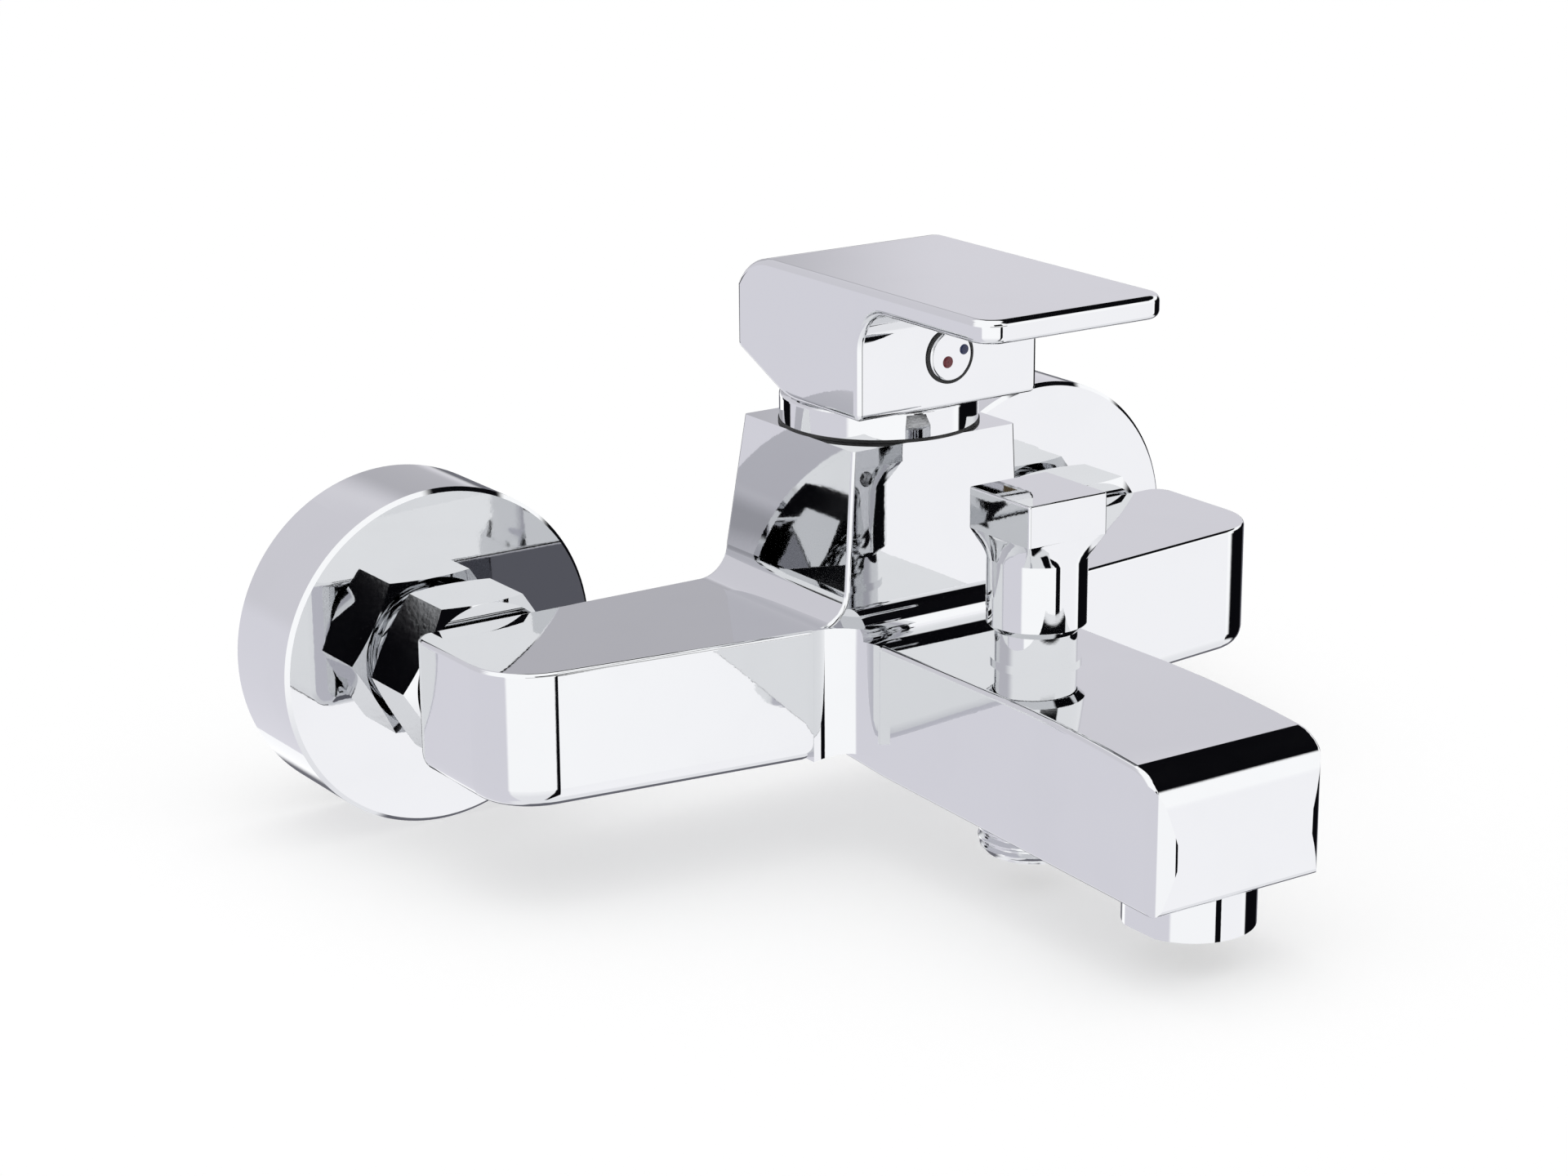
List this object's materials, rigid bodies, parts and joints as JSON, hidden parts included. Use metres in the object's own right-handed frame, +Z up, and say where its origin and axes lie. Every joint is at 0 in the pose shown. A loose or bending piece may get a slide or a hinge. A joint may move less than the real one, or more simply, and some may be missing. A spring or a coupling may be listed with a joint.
{
  "type": "wall mounted bath faucet",
  "caption": "Wall-mounted bath mixer with a flat lever, square spout, pull-up diverter knob, shower outlet below and round wall flanges.",
  "frame": {"origin": "on the wall plane, midway between the two supply inlets and at the height of the mixer's arms", "axes": "+Z up, +Y into the wall, so the spout points along -Y; +X runs towards the cold inlet"},
  "size_m": [0.2184, 0.192, 0.1133],
  "materials": {
    "chrome": "polished chrome plate",
    "brass": "bare turned brass",
    "rubber": "matte black rubber",
    "steel": "bare steel",
    "ceramic": "polished white ceramic",
    "plastic": "moulded white plastic"
  },
  "bodies": {
    "fixed_body": {"eccentric_union_left": "brass", "wall_flange_left": "chrome", "union_nut_left": "chrome", "inlet_nipple_left": "brass", "nipple_seal_left": "rubber", "inlet_washer_left": "rubber", "inlet_filter_left": "steel", "eccentric_union_right": "brass", "wall_flange_right": "chrome", "union_nut_right": "chrome", "inlet_nipple_right": "brass", "nipple_seal_right": "rubber", "inlet_washer_right": "rubber", "inlet_filter_right": "steel", "body_casting": "chrome", "cartridge_base": "plastic", "cartridge_seals": "rubber", "fixed_disc": "ceramic", "cartridge_housing": "plastic", "retaining_nut": "brass", "dome_ring": "chrome", "diverter_bonnet": "chrome", "bonnet_seal": "rubber", "stem_seal": "rubber", "diverter_spring": "steel", "outlet_nipple": "chrome", "outlet_washer": "rubber", "aerator_seal": "rubber", "aerator_housing": "chrome", "aerator_insert": "plastic", "aerator_mesh": "plastic"},
    "turret": {"stem_holder": "plastic", "stem_pin": "steel", "holder_seal": "rubber"},
    "lever": {"cartridge_stem": "brass", "lever_handle": "chrome", "handle_set_screw": "steel", "indicator_plug": "chrome"},
    "disc": {"moving_disc": "ceramic", "disc_carrier": "plastic"},
    "diverter": {"diverter_knob": "chrome", "knob_screw": "steel", "diverter_stem": "brass", "piston_disc": "brass", "piston_seals": "rubber", "piston_nut": "brass"}
  },
  "joints": [
    {"name": "lever_swivel", "type": "hinge", "parent": "fixed_body", "child": "turret", "pos_m": [0, -0.0646, 0.047], "axis": [0, 0, 1], "range_deg": [-50, 50]},
    {"name": "lever_tilt", "type": "hinge", "parent": "turret", "child": "lever", "pos_m": [0, -0.0646, 0.047], "axis": [-1, 0, 0], "range_deg": [0, 20]},
    {"name": "disc_slide", "type": "slide", "parent": "turret", "child": "disc", "axis": [0, -1, 0], "range_m": [0, 0.0044]},
    {"name": "diverter_lift", "type": "slide", "parent": "fixed_body", "child": "diverter", "axis": [0, 0, 1], "range_m": [0, 0.006], "stiffness_N_per_m": 150, "springref_m": -0.012, "deforming": ["diverter_spring"]}
  ],
  "couplings": [
    {"joint": "disc_slide", "follows": "lever_tilt", "m_per_rad": 0.0125}
  ]
}
